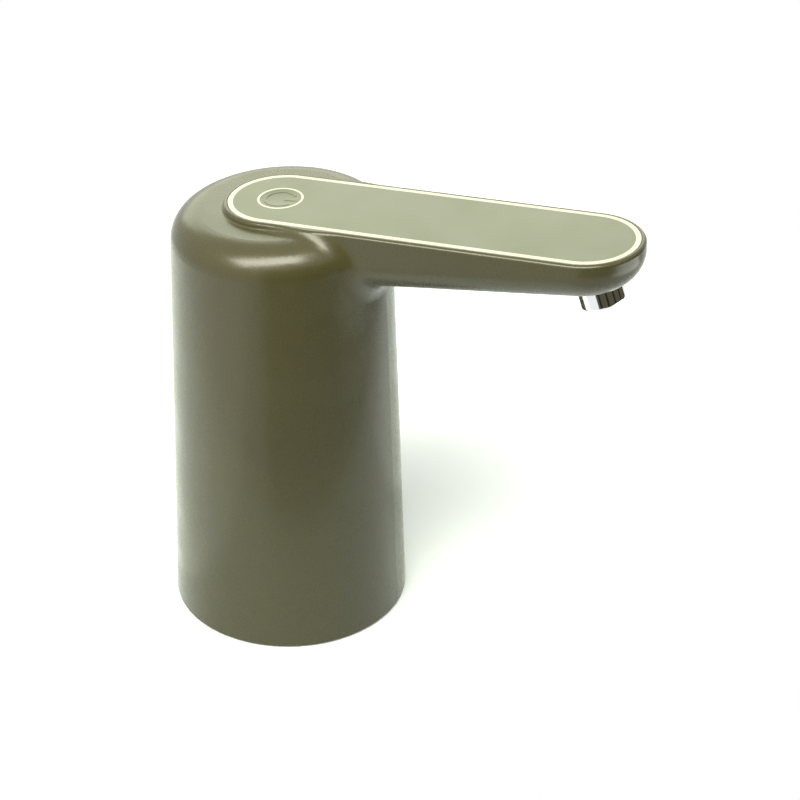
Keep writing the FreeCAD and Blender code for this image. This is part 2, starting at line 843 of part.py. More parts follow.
light_ring = cut(join(cylinder("ring_outer", "-panel_thick", "0"),
                      cylinder("ring_flange_radius", "-ring_bottom", "-panel_thick")),
                 cylinder("ring_inner", "-ring_bottom - spare", "spare"))
piece("button_ring", in_panel_frame(light_ring))

cap = join(cylinder("button_radius", "-button_flange_top", "0"),
           cylinder("button_flange_radius", "-button_flange_top - button_flange_thick",
                    "-button_flange_top"),
           cylinder("button_stem", "-plunger_top", "-button_flange_top"))
cap = cut(cap, ball("dish_radius", "dish_radius - dish_depth"))
mark_low = "-dish_depth - mark_width"
arc_band = cut(cylinder("mark_radius + mark_width / 2", mark_low, "0"),
               cylinder("mark_radius - mark_width / 2", f"{mark_low} - spare", "spare"))
wedge = doc.addObject("Part::Cylinder", "wedge")
bind(wedge, Radius="button_radius", Height="2 * ring_bottom", Angle="mark_gap")
place(turn(wedge, Vector(0, 0, -1), "mark_gap / 2"), z="-ring_bottom")
stroke = block(("mark_bar_start", "mark_radius + mark_width"),
               ("-mark_width / 2", "mark_width / 2"), (mark_low, "0"))
mark = cut(join(cut(arc_band, wedge), stroke),
           ball("dish_radius - mark_rise", "dish_radius - dish_depth"))
piece("power_button", in_panel_frame(join(cap, mark)))

plunger_low = "-board_depth + button_travel + button_end_gap"
piece("switch_plunger", in_panel_frame(cylinder("plunger_radius", plunger_low, "-plunger_top")))
half_switch = "switch_width / 2"
switch = cut(block((f"-{half_switch}", half_switch), (f"-{half_switch}", half_switch),
                   ("-board_depth", "-board_depth + switch_thick")),
             cylinder("plunger_radius + button_play", "-board_depth + button_end_gap / 2", "0"))
piece("switch_body", in_panel_frame(switch))

# Control board, hung from the panel's posts

board = block(("-board_back", "board_front"), ("-board_half_width", "board_half_width"),
              ("-board_depth - board_thick", "-board_depth"))
board_holes = [cylinder("pump_screw_radius + small_screw_play",
                        "-board_depth - board_thick - spare", "0", x, y)
               for x, y in BOARD_SCREWS]
piece("control_board", in_panel_frame(cut(board, *board_holes)))
board_screws = [
    screw("pump_screw_radius", "board_depth + board_thick - panel_thick - 2 * small_screw_end",
          "pump_screw_head_radius",
          "pump_screw_head_height", x, y,
          "-board_depth - board_thick - pump_screw_head_height")
    for x, y in BOARD_SCREWS
]
piece("board_screws", in_panel_frame(group(*board_screws)))


def chip(x, y, length, width, height):
    """A component on the control board's upper side, centred at x, y."""
    return block((f"{x} - {length} / 2", f"{x} + {length} / 2"),
                 (f"{y} - {width} / 2", f"{y} + {width} / 2"),
                 ("-board_depth", f"-board_depth + {height}"))


leds = [chip(*on_circle("led_circle", angle), "1.6", "1.6", "0.7")
        for angle in spread("4", "45")]
piece("led_chips", in_panel_frame(group(*leds)))
chips = [chip("18", "0", "5", "4.4", "1.5"), chip("26", "-2", "6", "6", "2.6"),
         chip("26", "6", "3.2", "1.6", "1.2"), chip("18", "-6", "3.2", "1.6", "1.2"),
         chip("34", "1", "2.9", "1.6", "1.1")]
piece("control_chips", in_panel_frame(group(*chips)))

# Nozzle, its seal and the elbow that feeds it

def is_mouth(edge):
    outer = abs(edge.BoundBox.XMax - number("nozzle_radius")) < number("spigot_play")
    return outer and edge.BoundBox.ZMax < number("nozzle_edge")


sleeve = turned(("nozzle_bore", "0"), ("nozzle_radius", "0"), ("nozzle_radius", "nozzle_length"),
                ("nozzle_flange_radius", "nozzle_length"), ("nozzle_flange_radius", "nozzle_top"),
                ("spigot_seat", "nozzle_top"), ("spigot_seat", "outlet_depth"),
                ("nozzle_bore", "outlet_depth"))
piece("nozzle", in_nozzle_frame(rounded(sleeve, "nozzle_edge", is_mouth)))

spigot = turned(("elbow_bore", "outlet_depth"), ("elbow_radius", "outlet_depth"),
                ("elbow_radius", "elbow_groove_low"),
                ("spigot_seat - 2 * seal_wire", "elbow_groove_low"),
                ("spigot_seat - 2 * seal_wire", "elbow_groove_high"),
                ("elbow_radius", "elbow_groove_high"), ("elbow_radius", "nozzle_top"),
                ("nozzle_flange_radius", "nozzle_top"),
                ("nozzle_flange_radius", "nozzle_top + elbow_flange_thick"),
                ("elbow_radius", "nozzle_top + elbow_flange_thick"),
                ("elbow_radius", "elbow_top"), ("0", "elbow_top"),
                ("0", "elbow_top - elbow_roof"), ("elbow_bore", "elbow_top - elbow_roof"))
barb = along_x("barb_radius", "elbow_barb_end", "nozzle_along - spare", "0", "-elbow_depth")
barb_way = along_x("barb_bore", "elbow_barb_end - spare", "nozzle_along", "0", "-elbow_depth")
elbow_way = cylinder("elbow_bore", "outlet_depth - spare", "elbow_top - elbow_roof")
piece("spout_elbow", cut(join(in_nozzle_frame(spigot), in_panel_frame(barb)),
                         in_nozzle_frame(elbow_way), in_panel_frame(barb_way)))
piece("nozzle_seal", in_nozzle_frame(
    o_ring("spigot_seat - seal_wire", "seal_wire",
           "elbow_groove_low + seal_wire + seal_play / 2")))

# Base cup, the bottle neck's ring and the inlet

def cup_outer(height):
    return f"base_radius - wall - cup_clearance - ({height}) * trunk_slope"


cup = turned(("socket_radius", "socket_lift"), (cup_outer("socket_lift"), "socket_lift"),
             (cup_outer("socket_top"), "socket_top"), ("0", "socket_top"), ("0", "socket_depth"),
             ("socket_inner", "socket_depth"), ("socket_inner", "neck_grip"),
             ("socket_radius", "neck_grip"))
flange_pocket = cylinder("inlet_flange_radius", "inlet_flange_low", "socket_top + spare")
inlet_hole = cylinder("inlet_shank", "socket_depth - spare", "socket_top")
groove_floor = "inlet_flange_low - 2 * seal_wire"
seal_groove = cut(cylinder("seal_circle + seal_wire", groove_floor, "socket_top"),
                  cylinder("seal_circle - seal_wire", "socket_depth", "socket_top"))
screw_ways = []
for at in BASE_SCREWS:
    screw_ways.append(
        cylinder("screw_radius + screw_play", "socket_depth - spare", "socket_top + spare", *at))
    screw_ways.append(
        cylinder("screw_head_radius + screw_head_play", "socket_depth - spare", "screw_head_top", *at))
piece("base_cup", cut(cup, flange_pocket, inlet_hole, seal_groove, *screw_ways))

piece("neck_ring", turned(
    ("neck_radius", "0"), ("socket_radius", "0"), ("socket_radius", "neck_grip"),
    ("neck_radius + neck_lead", "neck_grip"), ("neck_radius", "neck_grip - neck_lead / 2")))

piece("inlet_nipple", turned(
    ("inlet_bore", "inlet_low"), ("inlet_radius - inlet_tip", "inlet_low"),
    ("inlet_radius", "inlet_low + 1.5 * inlet_tip"), ("inlet_radius", "socket_depth"),
    ("inlet_shank", "socket_depth"), ("inlet_shank", "inlet_flange_low"),
    ("inlet_flange_radius", "inlet_flange_low"), ("inlet_flange_radius", "socket_top"),
    ("inlet_spigot", "socket_top"), ("inlet_spigot", "socket_top + inlet_top"),
    ("inlet_bore", "socket_top + inlet_top")))
piece("inlet_seal", o_ring("seal_circle", "seal_wire", "inlet_flange_low - seal_wire"))

base_screws = [
    screw("screw_radius", "frame_top + screw_bite - screw_head_top", "screw_head_radius",
          "screw_head_height", *at, "socket_depth + screw_head_play")
    for at in BASE_SCREWS
]
piece("base_screws", group(*base_screws))

# Inner frame that carries the battery, the pump and the charging board

def at_pump(radius, low, high):
    return cylinder(radius, low, high, "pump_x", "pump_y")


def at_cell(radius, low, high):
    return cylinder(radius, low, high, "0", "cell_offset")


rail_xs = ("-charge_back - rail_lip", "-charge_front + rail_lip")
rail_inner, rail_outer = "charge_half_width - rail_groove", "charge_half_width + rail_width"
rail_zs = ("socket_top", "charge_low + rail_height")
rails = [block(rail_xs, (rail_inner, rail_outer), rail_zs),
         block(rail_xs, (f"-({rail_outer})", f"-({rail_inner})"), rail_zs)]
frame_solid = join(
    cylinder("frame_radius", "socket_top", "frame_top"),
    at_pump("cradle_radius", "socket_top", "cradle_top"),
    at_cell("clip_radius + cell_clip_wall", "socket_top", "frame_top + cell_cup_height"),
    block(("-spine_half_width", "spine_half_width"), ("spine_front", "spine_back"),
          ("socket_top", "spine_top")),
    at_cell("clip_radius + cell_clip_wall", "collar_low", "collar_high"),
    at_pump("collar_radius + cradle_wall", "collar_low", "collar_high"),
    block(("-spine_thick", "spine_thick"), ("pump_y + motor_radius", "spine_back"),
          ("collar_low", "collar_high")),
    *rails)
slot_xs = ("pump_x - cradle_radius - spare", "pump_x - pump_radius / 2")
slot_ys = ("pump_y - port_slot", "pump_y + port_slot")
frame_cuts = [
    at_pump("sleeve_radius", "sleeve_low", "cradle_top + spare"),
    at_pump("ledge_radius", "frame_top", "pump_low"),
    block(slot_xs, slot_ys, ("sleeve_low", "cradle_top + spare")),
    at_pump("collar_radius", "cradle_top", "spine_top + spare"),
    at_cell("clip_radius", "frame_top", "spine_top + spare"),
    block(("-frame_radius", "frame_radius"), ("cell_offset + cell_clip_grip", "base_radius"),
          ("collar_low - spare", "collar_high + spare")),
    block(("-charge_back - rail_play", "-charge_front + rail_play"),
          ("-charge_half_width - rail_play", "charge_half_width + rail_play"),
          ("charge_low", "charge_high + spare")),
    cylinder("inlet_spigot + coupling_wall + hose_gap", "socket_top - spare", "frame_top + spare"),
]
for at in BASE_SCREWS:
    frame_cuts.append(
        cylinder("screw_radius + screw_play", "socket_top - spare", "frame_top + spare", *at))
    frame_cuts.append(
        cylinder("boss_radius + boss_gap", "frame_top", "frame_top + boss_height + spare", *at))
piece("inner_frame", cut(frame_solid, *frame_cuts))

# Battery

piece("battery_cell", at_cell("cell_radius", "cell_low", "cell_top"))
half_tab = "tab_width / 2"
tabs = [block((f"-{half_tab}", half_tab), ("cell_offset - tab_width", "cell_offset + tab_width"),
              (low, f"{low} + tab_thick")) for low in ("frame_top", "cell_top")]
piece("battery_tabs", group(*tabs))

# Pump head, from the ports up

rubber = cut(at_pump("sleeve_radius", "sleeve_low", "sleeve_top"),
             at_pump("pump_radius + sleeve_fit", "pump_low", "sleeve_top + spare"),
             at_pump("ledge_radius", "frame_top", "sleeve_top"),
             block(slot_xs, slot_ys, ("sleeve_low", "sleeve_top + spare")))
piece("pump_sleeve", rubber)

PUMP_SCREWS = [on_circle("pump_screw_circle", angle, "pump_x", "pump_y")
               for angle in spread("cup_count", "30")]
CUPS = [on_circle("cup_circle", angle, "pump_x", "pump_y") for angle in spread("cup_count", "90")]


def screw_holes(low, high, play="small_screw_play"):
    return [cylinder(f"pump_screw_radius + {play}", low, high, x, y) for x, y in PUMP_SCREWS]


cover = join(
    at_pump("pump_radius", "pump_low", "valve_low"),
    cylinder("inlet_spigot", "pump_low - inlet_barb_length", "port_level"),
    block(("riser_x - port_block_half", "pump_x - pump_radius / 2"),
          ("pump_y - port_block_half", "pump_y + port_block_half"), ("pump_low", "valve_low")),
    cylinder("barb_radius", "port_level", "valve_low + outlet_barb_length", "riser_x", "pump_y"))
cover_cuts = [
    along_x("barb_bore", "riser_x", "pump_x", "pump_y", "port_level"),
    at_pump("barb_bore", "port_level", "valve_low + spare"),
    cylinder("inlet_bore", "pump_low - inlet_barb_length - spare", "valve_low + spare"),
    cylinder("barb_bore", "port_level", "valve_low + outlet_barb_length + spare",
             "riser_x", "pump_y"),
    *screw_holes("pump_low", "valve_low + spare"),
]
head_pocket = "pump_low + pump_screw_head_height + 2 * small_screw_play"
for at in PUMP_SCREWS:
    cover_cuts.append(
        cylinder("pump_screw_head_radius + small_screw_play", "pump_low - spare", head_pocket, *at))
piece("pump_cover", cut(cover, *cover_cuts))

ports = [cylinder("valve_port", "valve_low - spare", "membrane_low", *at) for at in CUPS]
recesses = [cylinder("flap_radius + flap_play", "flap_low", "membrane_low + spare", *at)
            for at in CUPS]
piece("valve_plate", cut(
    at_pump("pump_radius", "valve_low", "membrane_low"), *ports, *recesses,
    at_pump("valve_drain", "valve_low - spare", "membrane_low + spare"),
    *screw_holes("valve_low - spare", "membrane_low + spare")))
flaps = [cut(cylinder("flap_radius", "flap_low", "flap_low + flap_thick", *at),
             cylinder("flap_hole", "flap_low - spare", "membrane_low", *at)) for at in CUPS]
piece("valve_flaps", group(*flaps))


def cup_at(x, y):
    """One pumping cup of the diaphragm, with the nipple that the wobble plate holds."""
    return join(
        cylinder("cup_radius", "membrane_low", "chamber_top", x, y),
        cylinder("nipple_radius", "chamber_low", "nipple_top", x, y),
        cylinder("nipple_head_radius", "nipple_top", "nipple_top + nipple_head", x, y))


cup_hollows = [
    cylinder("cup_radius - cup_wall", "membrane_low - spare", "chamber_top - cup_wall", *at)
    for at in CUPS
]
piece("diaphragm", cut(
    join(at_pump("pump_radius", "membrane_low", "chamber_low"), *[cup_at(*at) for at in CUPS]),
    *cup_hollows, *screw_holes("membrane_low - spare", "chamber_low + spare")))
cup_ways = [cylinder("cup_radius + cup_gap", "chamber_low - spare", "chamber_top + spare", *at)
            for at in CUPS]
piece("chamber_plate", cut(at_pump("pump_radius", "chamber_low", "chamber_top"), *cup_ways,
                           *screw_holes("chamber_low - spare", "chamber_top + spare")))

shell = cut(at_pump("pump_radius", "chamber_top", "bracket_top"),
            at_pump("pump_radius - bracket_wall", "chamber_top - spare", "bracket_plate_low"))
shell_bosses = [
    shared(at_pump("pump_radius", "chamber_top", "bracket_top"),
           cylinder("pump_screw_boss", "chamber_top", "bracket_top", *at))
    for at in PUMP_SCREWS
]
MOTOR_SCREWS = [on_circle("motor_screw_circle", angle, "pump_x", "pump_y")
                for angle in ("0", "180")]
bracket_cuts = [cylinder("motor_screw_radius + small_screw_play", "chamber_top",
                         "bracket_top + spare", *at) for at in MOTOR_SCREWS]
piece("pump_bracket", cut(
    join(shell, *shell_bosses), *bracket_cuts,
    at_pump("motor_nose_radius + motor_nose_gap", "nose_low - spare", "bracket_top + spare"),
    *screw_holes("chamber_top - spare", "chamber_top + small_screw_bite + small_screw_end", "0")))

head_top = "(pump_low + pump_screw_head_height + 2 * small_screw_play)"
pump_screws = [
    screw("pump_screw_radius", f"chamber_top + small_screw_bite - {head_top}",
          "pump_screw_head_radius", "pump_screw_head_height", *at, "pump_low + 2 * small_screw_play")
    for at in PUMP_SCREWS
]
piece("pump_screws", group(*pump_screws))
motor_screws = [
    screw("motor_screw_radius", "bracket_plate + motor_can_wall", "motor_screw_head_radius",
          "motor_screw_head_height", *at, "bracket_plate_low - motor_screw_head_height")
    for at in MOTOR_SCREWS
]
piece("motor_screws", group(*motor_screws))

# Wobble plate, its pin and the eccentric wheel

arms = []
arm_holes = []
for angle in spread("cup_count", "90"):
    bar = block(("0", "wobble_reach"), ("0", "wobble_arm"), ("0", "wobble_thick"))
    arms.append(spoke(bar, angle, "0", "wobble_arm", "wobble_low"))
    arm_holes.append(cylinder("wobble_hole", "wobble_low - spare",
                              "wobble_low + wobble_thick + spare", *on_circle("cup_circle", angle)))
plate = join(cylinder("wobble_disc", "wobble_low", "wobble_low + wobble_thick"),
             cylinder("wobble_hub", "wobble_low", "wobble_hub_top"), *arms)
pin_way = cylinder("pin_radius", "wobble_low", "wobble_hub_top + spare")
piece("wobble_plate", in_wobble_frame(cut(plate, *arm_holes, pin_way)))
piece("wobble_pin", in_wobble_frame(cylinder("pin_radius", "wobble_low", "pin_top")))

pin_hole = cylinder("pin_radius + pin_play", "wobble_hub_top", "pin_top + pin_end_gap")
piece("eccentric_wheel", cut(at_pump("wheel_radius", "wheel_base", "wheel_top"),
                             in_wobble_frame(pin_hole),
                             at_pump("shaft_radius", "shaft_low", "wheel_top + spare")))

# Motor

can = cut(join(at_pump("motor_radius", "bracket_top", "motor_top"),
               at_pump("motor_nose_radius", "nose_low", "bracket_top + motor_can_wall")),
          at_pump("can_bore", "bracket_top + motor_can_wall", "motor_top + spare"),
          at_pump("bush_radius", "nose_low - spare", "bracket_top + motor_can_wall + spare"),
          *[cylinder("motor_screw_radius", "nose_low", "core_low", *at) for at in MOTOR_SCREWS])
piece("motor_can", can)
end_cap = cut(join(at_pump("can_bore", "cap_low", "motor_top"),
                   at_pump("motor_radius", "motor_top", "cap_top")),
              at_pump("bush_radius", "cap_low - spare", "bush_top"))
piece("motor_end_cap", end_cap)
bushes = [cut(at_pump("bush_radius", low, high),
              at_pump("shaft_radius + shaft_play", f"{low} - spare", f"{high} + spare"))
          for low, high in (("nose_low", "nose_low + bush_length"), ("cap_low", "bush_top"))]
piece("motor_bushes", group(*bushes))

magnets = []
for start in ("-magnet_span / 2", "180 - magnet_span / 2"):
    sector = doc.addObject("Part::Cylinder", "sector")
    bind(sector, Radius="magnet_radius", Height="magnet_length", Angle="magnet_span")
    turn(sector, Vector(0, 0, 1), start)
    place(sector, "pump_x", "pump_y", "magnet_low")
    magnets.append(cut(sector, at_pump("magnet_radius - magnet_thick", "magnet_low - spare",
                                       "magnet_low + magnet_length + spare")))
piece("motor_magnets", group(*magnets))

slots = []
for angle in spread("3", "60"):
    gap = block(("0", "core_radius"), ("0", "pole_slot"), ("0", "core_length + 2 * spare"))
    slots.append(spoke(gap, angle, "pole_root", "pole_slot", "core_low - spare",
                       "pump_x", "pump_y"))
shaft_way = at_pump("shaft_radius", "core_low - spare", "core_top + spare")
piece("rotor_core", cut(at_pump("core_radius", "core_low", "core_top"), *slots, shaft_way))
windings = [cut(at_pump("winding_radius", low, high),
                at_pump("winding_hub", f"{low} - spare", f"{high} + spare"))
            for low, high in (("core_low - winding_bulge", "core_low"),
                              ("core_top", "core_top + winding_bulge"))]
piece("rotor_windings", group(*windings))
commutator_top = "commutator_low + commutator_length"
piece("commutator", cut(
    at_pump("commutator_radius", "commutator_low", commutator_top),
    at_pump("shaft_radius", "commutator_low - spare", f"{commutator_top} + spare")))
piece("motor_shaft", at_pump("shaft_radius", "shaft_low", "bush_top - shaft_end_gap"))
terminals = []
terminal_y = "pump_y - terminal_offset"
for side in ("-terminal_side", "terminal_side"):
    middle = f"pump_x + ({side})"
    terminals.append(block((f"{middle} - terminal_thick / 2", f"{middle} + terminal_thick / 2"),
                           (f"{terminal_y} - terminal_width / 2",
                            f"{terminal_y} + terminal_width / 2"),
                           ("cap_top", "terminal_top")))
piece("motor_terminals", group(*terminals))

# Charging board and its socket

piece("charge_board", block(("-charge_back", "-charge_front"),
                            ("-charge_half_width", "charge_half_width"),
                            ("charge_low", "charge_high")))
usb_mouth = "-charge_back - usb_length"
socket_shell = usb_opening("0", usb_mouth, "-charge_back")
socket_hollow = usb_opening("-usb_shell", f"{usb_mouth} - spare", "-charge_back - usb_back")
tongue = block((f"{usb_mouth} + usb_recess", "-charge_back"),
               ("-usb_width / 2 + usb_tongue_inset", "usb_width / 2 - usb_tongue_inset"),
               ("usb_height - usb_tongue / 2", "usb_height + usb_tongue / 2"))
piece("usb_socket", join(cut(socket_shell, socket_hollow), tongue))


def charge_chip(y, z, width, height, thick):
    return block(("-charge_front", f"-charge_front + {thick}"),
                 (f"{y} - {width} / 2", f"{y} + {width} / 2"),
                 (f"{z} - {height} / 2", f"{z} + {height} / 2"))


piece("charge_chips", group(charge_chip("0", "48", "5", "4", "1.6"),
                            charge_chip("4", "57", "3.2", "1.6", "1.2"),
                            charge_chip("-4", "57", "3.2", "1.6", "1.2"),
                            charge_chip("0", "62.5", "6", "3", "1.4")))

# Hoses

pump = Vector(number("pump_x"), number("pump_y"), 0)
riser = Vector(number("riser_x"), pump.y, 0)
under_board = number("board_depth + board_thick + hose_radius + hose_gap")
turn_level = number("panel_height - hose_turn_gap") - under_board + number("hose_gap")
HOSE_POINTS = [
    riser + Vector(0, 0, number("valve_low + hose_end_gap")),
    riser + Vector(0, 0, turn_level),
    panel_point(number("board_front + hose_board_gap"), 0.0, under_board),
    panel_point(number("elbow_barb_end - hose_straight"), 0.0, number("elbow_depth")),
    panel_point(number("elbow_barb_end + hose_grip"), 0.0, number("elbow_depth")),
]
piece("outlet_hose", shape_feature("outlet_hose", swept(
    HOSE_POINTS, number("hose_radius"), number("hose_bore"), largest=20.0)))

piece("inlet_hose", cut(
    cylinder("inlet_spigot + coupling_wall", "frame_top + hose_gap", "sleeve_low - hose_gap"),
    cylinder("inlet_spigot + hose_fit", "frame_top", "pump_low")))

# Wires, soldered between the motor, the battery and the boards

board_underside = number("board_depth + board_thick + wire_end_gap")
pad_side = number("board_half_width - pad_inset")


def lead(foot, pad, rise, reach):
    """A wire that rises from its foot, crosses over between two heights and meets its pad."""
    climb = Vector(0, 0, pad.z - foot.z)
    route = [foot, foot + climb * rise, pad - climb * (1.0 - reach), pad]
    return shape_feature("lead", swept(route, number("wire_radius"), largest=8.0))


motor_leads = []
for side, along in ((1, 9.0), (-1, 5.0)):
    foot = pump + Vector(side * number("terminal_side"), -number("terminal_offset"),
                         number("terminal_top"))
    motor_leads.append(lead(foot, panel_point(along, -pad_side, board_underside), 0.22, 0.46))
piece("motor_leads", group(*motor_leads))

battery_leads = []
for across, along in ((-1.6, 1.0), (1.6, 4.2)):
    foot = Vector(across, number("cell_offset"), number("cell_top + tab_thick"))
    battery_leads.append(lead(foot, panel_point(along, pad_side, board_underside), 0.3, 0.62))
piece("battery_leads", group(*battery_leads))

charge_leads = []
for across in (3.0, 5.6):
    foot = Vector(-number("charge_back + charge_front") / 2, across, number("charge_high"))
    pad = panel_point(-number("board_back - charge_pad_inset"), across, board_underside)
    charge_leads.append(lead(foot, pad, 0.64, 0.87))
piece("charge_leads", group(*charge_leads))

# Tests and files

doc.recompute()
for item in doc.Objects:
    if {"Invalid", "Error"} & set(item.State):
        raise RuntimeError(f"{item.Label} failed: {item.State}")

os.makedirs("parts", exist_ok=True)
for item in PIECES:
    shape = item.Shape
    if shape.isNull() or not shape.isValid() or not shape.Solids:
        raise RuntimeError(f"{item.Label} has no valid solid")
    print(f"{item.Label}: {len(shape.Solids)} solids, {shape.Volume:.1f} mm3")
for item in PIECES:
    item.Shape.exportStep(f"parts/{item.Label}.step")
print(f"{len(PIECES)} pieces")
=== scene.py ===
import json
import math

import bpy
from mathutils import Matrix, Vector

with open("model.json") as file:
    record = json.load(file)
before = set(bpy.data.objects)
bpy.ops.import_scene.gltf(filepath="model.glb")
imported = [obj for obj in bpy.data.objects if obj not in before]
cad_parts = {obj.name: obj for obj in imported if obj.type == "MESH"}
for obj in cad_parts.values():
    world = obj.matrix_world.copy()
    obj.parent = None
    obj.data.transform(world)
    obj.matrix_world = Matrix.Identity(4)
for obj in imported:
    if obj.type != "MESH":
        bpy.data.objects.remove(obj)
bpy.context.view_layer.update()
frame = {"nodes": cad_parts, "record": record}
NODES = frame["nodes"]
scene = bpy.context.scene
scene.view_settings.view_transform = "Standard"

MM = 0.001
WHITE = (1.0, 1.0, 1.0, 1.0)
BLACK = (0.0, 0.0, 0.0, 1.0)

# The camera, fitted to the object's outlines in the photograph
FOCAL_LENGTH = 106.05
SENSOR_WIDTH = 36.0
CAMERA_PLACE = Vector((0.25016, -0.54935, 0.44607))
CAMERA_TARGET = Vector((0.03196, 0.01241, 0.0663))

# Noise lies mostly between these two
NOISE_LOW = 0.3
NOISE_HIGH = 0.7

# The floor is a disc just below the foot
FLOOR_MIDDLE = Vector((-0.05, 0.1, -0.0002))
FLOOR_REACH = 0.23
FLOOR_CORNERS = 96

# It glows, so that it is white. For the camera the glow grows with the distance from the trunk's
# axis, between the two distances below, so that the shadow at the foot stays. The weaker glow near
# the foot is painted shade round the foot, and the full glow further out paints over the object's
# shadow there.
GLOW = 0.23
GLOW_RISE_OUTSIDE_PAINTED_SHADE = 0.36
PAINTED_SHADE_FADE_START = 0.04
PAINTED_SHADE_FADE_END = 0.12

# Watts of a rectangular lamp per square metre and unit of radiance
WATTS_PER_RADIANCE = 4.0

# The middle of the object, which the softboxes face
LAMP_TARGET = Vector((0.03, 0.0, 0.08))

# Pale cards on the floor: azimuth, distance from the trunk's axis, width, depth and radiance
FLOOR_CARDS = {
    "left_card": (178, 0.19, 0.7, 0.3, 0.35),
    "left_card_mid": (172, 0.19, 0.4, 0.3, 0.32),
    "left_card_near": (165, 0.17, 0.22, 0.26, 0.35),
    "tip_card": (11, 0.42, 0.28, 0.28, 2.5),
    "right_card": (80, 0.17, 0.24, 0.2, 0.33),
}
FLOOR_CARD_COLOR = (0.94, 1.0, 0.9)

# A dark card with stripes in the world, to the right of the camera. DARK_LEVEL is the sine of its
# middle's elevation. Its sides fade out between two cosines of the angle from its azimuth, and its
# top and foot between two distances from DARK_LEVEL.
DARK_AZIMUTH = -15.0
DARK_LEVEL = -0.04
DARK_SIDES = (0.27, 0.31)
DARK_ENDS = (0.5, 0.42)
STRIPE_RATE = 11.0
STRIPE_EDGE = (-0.95, -0.5)

# The share by which the world lights dull surfaces less, from below and from above, and the sines
# of the elevation between which it changes
DIMMED = (0.65, 0.9)
DIMMED_SPAN = (-0.2, 0.0)


def direction(azimuth, elevation):
    """A unit vector in the row frame. Azimuth is counted from +X towards +Y, in degrees."""
    a, e = math.radians(azimuth), math.radians(elevation)
    return Vector((math.cos(a) * math.cos(e), math.sin(a) * math.cos(e), math.sin(e)))


def rgb(red, green, blue):
    """A colour from 0 to 255 per channel, as display values, turned into scene values."""
    def linear(value):
        value = value / 255.0
        return value / 12.92 if value <= 0.04045 else ((value + 0.055) / 1.055) ** 2.4

    return tuple(linear(c) for c in (red, green, blue)) + (1.0,)


def shaded(color, factor, lift=0.0):
    """The colour times the factor and lifted, but never over white."""
    return tuple(min(1.0, c * factor + lift) for c in color[:3]) + (1.0,)


# Camera

camera_data = bpy.data.cameras.new("camera")
camera_data.lens = FOCAL_LENGTH
camera_data.sensor_width = SENSOR_WIDTH
camera = bpy.data.objects.new("camera", camera_data)
scene.collection.objects.link(camera)
camera.location = CAMERA_PLACE
camera.rotation_euler = (CAMERA_TARGET - camera.location).to_track_quat("-Z", "Y").to_euler()
scene.camera = camera


# Shader nodes

class Nodes:
    """Makes the nodes of one tree."""

    def __init__(self, tree):
        self.tree = tree
        tree.nodes.clear()

    def node(self, kind, settings=None, **inputs):
        """A new node. Its inputs are written with _ for each space."""
        made = self.tree.nodes.new("ShaderNode" + kind)
        for name, value in (settings or {}).items():
            setattr(made, name, value)
        for name, value in inputs.items():
            self.feed(made.inputs[name.replace("_", " ")], value)
        return made

    def feed(self, socket, value):
        """Links another node's output to the socket, or sets a constant on it."""
        if isinstance(value, bpy.types.NodeSocket):
            self.tree.links.new(value, socket)
        else:
            socket.default_value = value

    def math(self, operation, first, second=0.0, clamp=False):
        made = self.node("Math", {"operation": operation, "use_clamp": clamp})
        self.feed(made.inputs[0], first)
        self.feed(made.inputs[1], second)
        return made.outputs[0]

    def dot(self, first, second):
        made = self.node("VectorMath", {"operation": "DOT_PRODUCT"})
        self.feed(made.inputs[0], first)
        self.feed(made.inputs[1], second)
        return made.outputs["Value"]

    def ramp(self, value, low, high, start=0.0, end=1.0):
        """Maps value from start..end to low..high, without going beyond them."""
        made = self.node("MapRange", {"clamp": True}, Value=value, From_Min=start, From_Max=end,
                         To_Min=low, To_Max=high)
        return made.outputs[0]

    def mix(self, share, first, second):
        made = self.node("Mix", {"data_type": "RGBA"})
        self.feed(made.inputs[0], share)
        self.feed(made.inputs[6], first)
        self.feed(made.inputs[7], second)
        return made.outputs[2]


